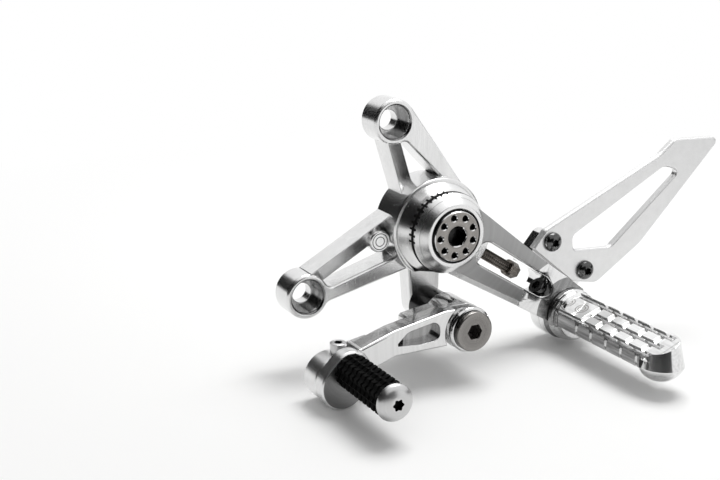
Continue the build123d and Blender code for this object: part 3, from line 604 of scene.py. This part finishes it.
def makeLockBolt(size):
    bm = bmesh.new()
    threaded = addThread(bm, size)
    shank = size["reach"] - size["start"]
    rootRadius = size["threadD"] / 2 - size["threadCut"] / 2
    headRadius = size["flats"] / math.sqrt(3)
    addRod(bm, size["rootSides"], rootRadius, threaded / 2, shank, size["rootEdge"])
    addRod(bm, size["collarSides"], size["collarD"] / 2, shank - size["collar"], shank, size["collarEdge"])
    addRod(bm, size["headSides"], headRadius, shank, shank + size["headLength"], size["headEdge"])
    along = Vector(slanted(size["angle"]))
    start = Vector((hubAxis.x, -size["depth"] * mm, hubAxis.z)) + along * size["start"] * mm
    place = Matrix.Translation(start) @ along.to_track_quat("Z", "Y").to_matrix().to_4x4()
    bmesh.ops.transform(bm, matrix=place, verts=bm.verts)
    piece = makePiece("lockBoltThreaded", bm, [titaniumMetal], bodyOf["hub_lock_bolt"],
                      size["smoothBelow"])
    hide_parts("hub_lock_bolt")


makeLockBolt(lockBolt)
print("lock bolt made")

# black scale marks that follow the surface on both sides of the seam, by depth and rise
scaleMarks = dict(radius=17.3, count=11, step=9.0, first=96.0, width=0.95, skin=0.05, sink=0.15,
                  plate=((24.0, 0.0), (22.8, 0.0), (22.3, 0.224)),
                  arm=((25.1, 0.0), (26.1, 0.0), (26.4, -0.24)))


def makeScale(name, size, profile, body):
    bm = bmesh.new()
    outer = [(size["radius"] + size["skin"] + rise, depth) for depth, rise in profile]
    inner = [(radius - size["sink"], depth) for radius, depth in reversed(outer)]
    low = -size["width"] / 2
    for index in range(size["count"]):
        tick = bmesh.new()
        ring = [tick.verts.new((radius * mm, -depth * mm, low * mm)) for radius, depth in outer + inner]
        side = bmesh.ops.extrude_face_region(tick, geom=[tick.faces.new(ring)])["geom"]
        bmesh.ops.translate(tick, verts=[item for item in side if isinstance(item, bmesh.types.BMVert)],
                            vec=(0, 0, size["width"] * mm))
        turn = Matrix.Rotation(-math.radians(size["first"] + index * size["step"]), 4, "Y")
        place = Matrix.Translation((hubAxis.x, 0, hubAxis.z)) @ turn
        bmesh.ops.transform(tick, matrix=place, verts=tick.verts)
        joinInto(bm, tick)
    makePiece(name, bm, [scaleInk], body)


makeScale("scaleOnPlate", scaleMarks, scaleMarks["plate"], bodyOf["base_plate"])
makeScale("scaleOnArm", scaleMarks, scaleMarks["arm"], bodyOf["footrest_arm"])

# black ring that fills the seam between the two scales
seamRing = dict(inner=16.8, seat=17.32, outer=17.47, back=24.06, front=25.04, lap=0.2, steps=128)


def makeSeamRing(size):
    bm = bmesh.new()
    inner, seat, outer = size["inner"], size["seat"], size["outer"]
    back, front, lap = size["back"], size["front"], size["lap"]
    profile = [(inner, back), (seat, back), (seat, back - lap), (outer, back - lap),
               (outer, front + lap), (seat, front + lap), (seat, front), (inner, front)]
    turnProfile(bm, profile, size["steps"], closed=True)
    bmesh.ops.transform(bm, matrix=outwards(hubAxis.x, 0, hubAxis.z), verts=bm.verts)
    makePiece("seamRing", bm, [scaleInk], bodyOf["friction_washer"])


makeSeamRing(seamRing)
print("scale made")

# clamp nut: the same solid with its ring of holes countersunk
nutHoles = dict(front=31.9, pcd=16.2, holeD=2.6, sink=0.42, onFace=0.01, slack=0.02, sharp=60.0)


def makeSunkNut(size):
    bm = bmesh.new()
    bm.from_mesh(nodes["clamp_nut"].data)
    bmesh.ops.remove_doubles(bm, verts=bm.verts, dist=cadWeldGap)
    rims = []
    for edge in bm.edges:
        onFront = all(abs(vert.co.y + size["front"] * mm) < size["onFace"] * mm for vert in edge.verts)
        reach = [math.hypot(vert.co.x - hubAxis.x, vert.co.z - hubAxis.z) / mm for vert in edge.verts]
        inRing = all(abs(radius - size["pcd"] / 2) < size["holeD"] / 2 + size["slack"] for radius in reach)
        if onFront and inRing and edge.calc_face_angle(0) > math.radians(size["sharp"]):
            rims.append(edge)
    bmesh.ops.bevel(bm, geom=rims, offset=size["sink"] * mm, segments=1, profile=0.5, affect="EDGES",
                    material=-1, clamp_overlap=True)
    piece = makePiece("nutSunk", bm, [nutMetal], bodyOf["clamp_nut"])
    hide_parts("clamp_nut")


makeSunkNut(nutHoles)

# plain thin rings on the plate's pad and on the footpeg's first block
plateRing = dict(place=(-26.0, -3.5), depth=13.0, radii=(3.4, 2.0), line=0.34, proud=0.02, sunk=0.1, steps=64)
pegRing = dict(depth=45.2, rise=6.3, radii=(2.9, 1.7), line=0.3, proud=0.02, sunk=0.1, steps=64)


def makeRings(name, size, place, material, body):
    bm = bmesh.new()
    low, high = -size["sunk"], size["proud"]
    for radius in size["radii"]:
        ring = bmesh.new()
        inner, outer = around(radius, size["line"] / 2)
        profile = [(inner, low), (outer, low), (outer, high), (inner, high)]
        turnProfile(ring, profile, size["steps"], closed=True)
        joinInto(bm, ring)
    bmesh.ops.transform(bm, matrix=place, verts=bm.verts)
    makePiece(name, bm, [material], body)


padX, padZ = hubAxis.x + plateRing["place"][0] * mm, hubAxis.z + plateRing["place"][1] * mm
onPad = outwards(padX, plateRing["depth"], padZ)
makeRings("plateRing", plateRing, onPad, scaleInk, bodyOf["base_plate"])
# the tread's plane leans about the peg's axis
onAxis = Matrix.Translation((pegAxis.x, -pegRing["depth"] * mm, pegAxis.z))
lean = Matrix.Rotation(-math.radians(pegTread["tilt"]), 4, "Y")
onTread = onAxis @ lean @ Matrix.Translation((0, 0, pegRing["rise"] * mm))
makeRings("pegRing", pegRing, onTread, titaniumMetal, bodyOf["footpeg"])
print("nut and rings made")

# the main pieces with their outer edges broken, as a deburring tool leaves them
brokenEdges = dict(base_plate=0.28, footrest_arm=0.25, foot_lever=0.25, heel_guard=0.22, footpeg=0.16,
                   toe_holder=0.2, pivot_bolt=0.2)
edgeLook = dict(sharp=28.0, steep=125.0, narrow=20.0, flat=0.4, segments=2, areaWeight=100)


def isBroken(edge, look):
    if not edge.is_convex or not look["sharp"] < math.degrees(edge.calc_face_angle(0)) < look["steep"]:
        return False
    for vert in edge.verts:  # no tool gets into a narrow corner
        along = edge.other_vert(vert).co - vert.co
        for other in vert.link_edges:
            aside = other.other_vert(vert).co - vert.co
            if other is not edge and math.degrees(along.angle(aside, math.pi)) < look["narrow"]:
                return False
    return True


def makeBrokenEdges(nodeName, width, look):
    bm = bmesh.new()
    bm.from_mesh(nodes[nodeName].data)
    bmesh.ops.remove_doubles(bm, verts=bm.verts, dist=cadWeldGap)
    bmesh.ops.dissolve_limit(bm, angle_limit=math.radians(look["flat"]), verts=bm.verts, edges=bm.edges)
    weight = bm.edges.layers.float.new("bevel_weight_edge")
    for edge in bm.edges:
        edge[weight] = float(isBroken(edge, look))
    material, slotName = finishes[nodeName]
    piece = makePiece(nodeName + "Edged", bm, [material], bodyOf[nodeName], look["sharp"])
    bevel = piece.modifiers.new("edges", "BEVEL")
    bevel.width = width * mm
    bevel.segments = look["segments"]
    bevel.limit_method = "WEIGHT"
    bevel.use_clamp_overlap = False
    weighted = piece.modifiers.new("normals", "WEIGHTED_NORMAL")
    weighted.mode = "FACE_AREA"
    weighted.weight = look["areaWeight"]
    weighted.keep_sharp = True
    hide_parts(nodeName)


for nodeName, width in brokenEdges.items():
    makeBrokenEdges(nodeName, width, edgeLook)
print("edges broken on", len(brokenEdges), "pieces")

# floor, light and camera
middle = (cadBox[0] + cadBox[1]) / 2
underMiddle = (middle.x, middle.y, cadBox[0].z)


def plainMaterial(name, look):
    material = bpy.data.materials.new(name)
    material.use_nodes = True
    shader = material.node_tree.nodes["Principled BSDF"]
    shader.inputs["Base Color"].default_value = look["colour"]
    shader.inputs["Roughness"].default_value = look["rough"]
    shader.inputs["Specular IOR Level"].default_value = look["specular"]
    return material


def seenDirectly(tree):
    path = tree.nodes.new("ShaderNodeLightPath").outputs
    seen = sums(tree, "MAXIMUM", path["Is Camera Ray"], path["Is Glossy Ray"])
    return sums(tree, "MAXIMUM", seen, path["Is Transmission Ray"])


# away from the object the floor runs into plain white; sizes in metres, the drop in mm
floorLook = dict(drop=0.3, size=8.0, colour=(0.93, 0.93, 0.925, 1), rough=0.6, specular=0.2, whiteFrom=0.17,
                 whiteTo=0.5)


def makeFloor(look):
    bm = bmesh.new()
    bmesh.ops.create_grid(bm, x_segments=1, y_segments=1, size=look["size"])
    bmesh.ops.translate(bm, verts=bm.verts, vec=(0, 0, cadBox[0].z - look["drop"] * mm))
    material = plainMaterial("paleFloor", look)
    tree = material.node_tree
    place = tree.nodes.new("ShaderNodeTexCoord").outputs["Object"]
    away = vectorSums(tree, "DISTANCE", place, underMiddle, output="Value")
    far = remap(tree, away, look["whiteFrom"], look["whiteTo"])
    glow = tree.nodes.new("ShaderNodeEmission")
    mix = tree.nodes.new("ShaderNodeMixShader")
    tree.links.new(sums(tree, "MULTIPLY", far, seenDirectly(tree)), mix.inputs[0])
    tree.links.new(tree.nodes["Principled BSDF"].outputs[0], mix.inputs[1])
    tree.links.new(glow.outputs[0], mix.inputs[2])
    tree.links.new(mix.outputs[0], tree.nodes["Material Output"].inputs["Surface"])
    floor = placeMesh("floor", bm, [material])


makeFloor(floorLook)

# black cloth walls round part of the table, seen only in the metal; metres and degrees
cloth = dict(rough=0.9, specular=0.1, steps=24)
walls = dict(
    leftWall=dict(cloth, radius=1.1, low=0.03, high=1.9, start=16.0, sweep=130.0, colour=grey(0.012)),
    frontWall=dict(cloth, radius=1.1, low=0.0, high=0.75, start=146.0, sweep=50.0, colour=grey(0.012)),
    rightWall=dict(cloth, radius=0.7, low=0.0, high=0.14, start=-125.0, sweep=55.0, colour=grey(0.02)))


def darkWall(name, look):
    bm = bmesh.new()
    foot = bm.verts.new((0, look["radius"], look["low"]))
    head = bm.verts.new((0, look["radius"], look["high"]))
    edge = bm.edges.new((foot, head))
    start = Matrix.Rotation(math.radians(look["start"]), 3, "Z")
    bmesh.ops.rotate(bm, verts=bm.verts, cent=zero, matrix=start)
    bmesh.ops.spin(bm, geom=[foot, head, edge], cent=zero, axis=(0, 0, 1), angle=math.radians(look["sweep"]),
                   steps=look["steps"])
    bmesh.ops.translate(bm, verts=bm.verts, vec=underMiddle)
    wall = placeMesh(name, bm, [plainMaterial(name + "Cloth", look)])
    wall.visible_camera = False
    wall.visible_shadow = False
    wall.visible_diffuse = False


for name, look in walls.items():
    darkWall(name, look)

worldLook = dict(colour=(1, 1, 1, 1), seen=1.0, light=0.5)
world = bpy.data.worlds.new("studio")
bpy.context.scene.world = world
world.use_nodes = True
worldTree = world.node_tree
background = worldTree.nodes["Background"]
background.inputs["Color"].default_value = worldLook["colour"]
strength = remap(worldTree, seenDirectly(worldTree), 0.0, 1.0, worldLook["light"], worldLook["seen"])
worldTree.links.new(strength, background.inputs["Strength"])

softbox = dict(place=(0.32, 0.22, 0.95), size=(0.7, 0.55), power=8.5)  # from the object's middle, in metres


def areaLamp(name, look):
    data = bpy.data.lights.new(name, "AREA")
    data.shape = "RECTANGLE"
    data.size, data.size_y = look["size"]
    data.energy = look["power"]
    lamp = bpy.data.objects.new(name, data)
    lamp.location = middle + Vector(look["place"])
    lamp.rotation_euler = (-Vector(look["place"])).to_track_quat("-Z", "Y").to_euler()
    bpy.context.scene.collection.objects.link(lamp)


areaLamp("softbox", softbox)

cameraLook = dict(lens=62.5, sensor=36.0, place=(-0.2464, -0.4508, 0.0980), right=(0.8857, -0.4642, 0.0),
                  forward=(0.4453, 0.8497, -0.2823))
camera = bpy.data.objects.new("camera", bpy.data.cameras.new("camera"))
camera.data.lens = cameraLook["lens"]
camera.data.sensor_width = cameraLook["sensor"]
right = Vector(cameraLook["right"]).normalized()
forward = Vector(cameraLook["forward"]).normalized()
turn = Matrix((right, right.cross(forward), -forward)).transposed().to_4x4()
camera.matrix_world = Matrix.Translation(cameraLook["place"]) @ turn
bpy.context.scene.collection.objects.link(camera)
bpy.context.scene.camera = camera
bpy.context.scene.view_settings.view_transform = "Standard"
print("stage set")
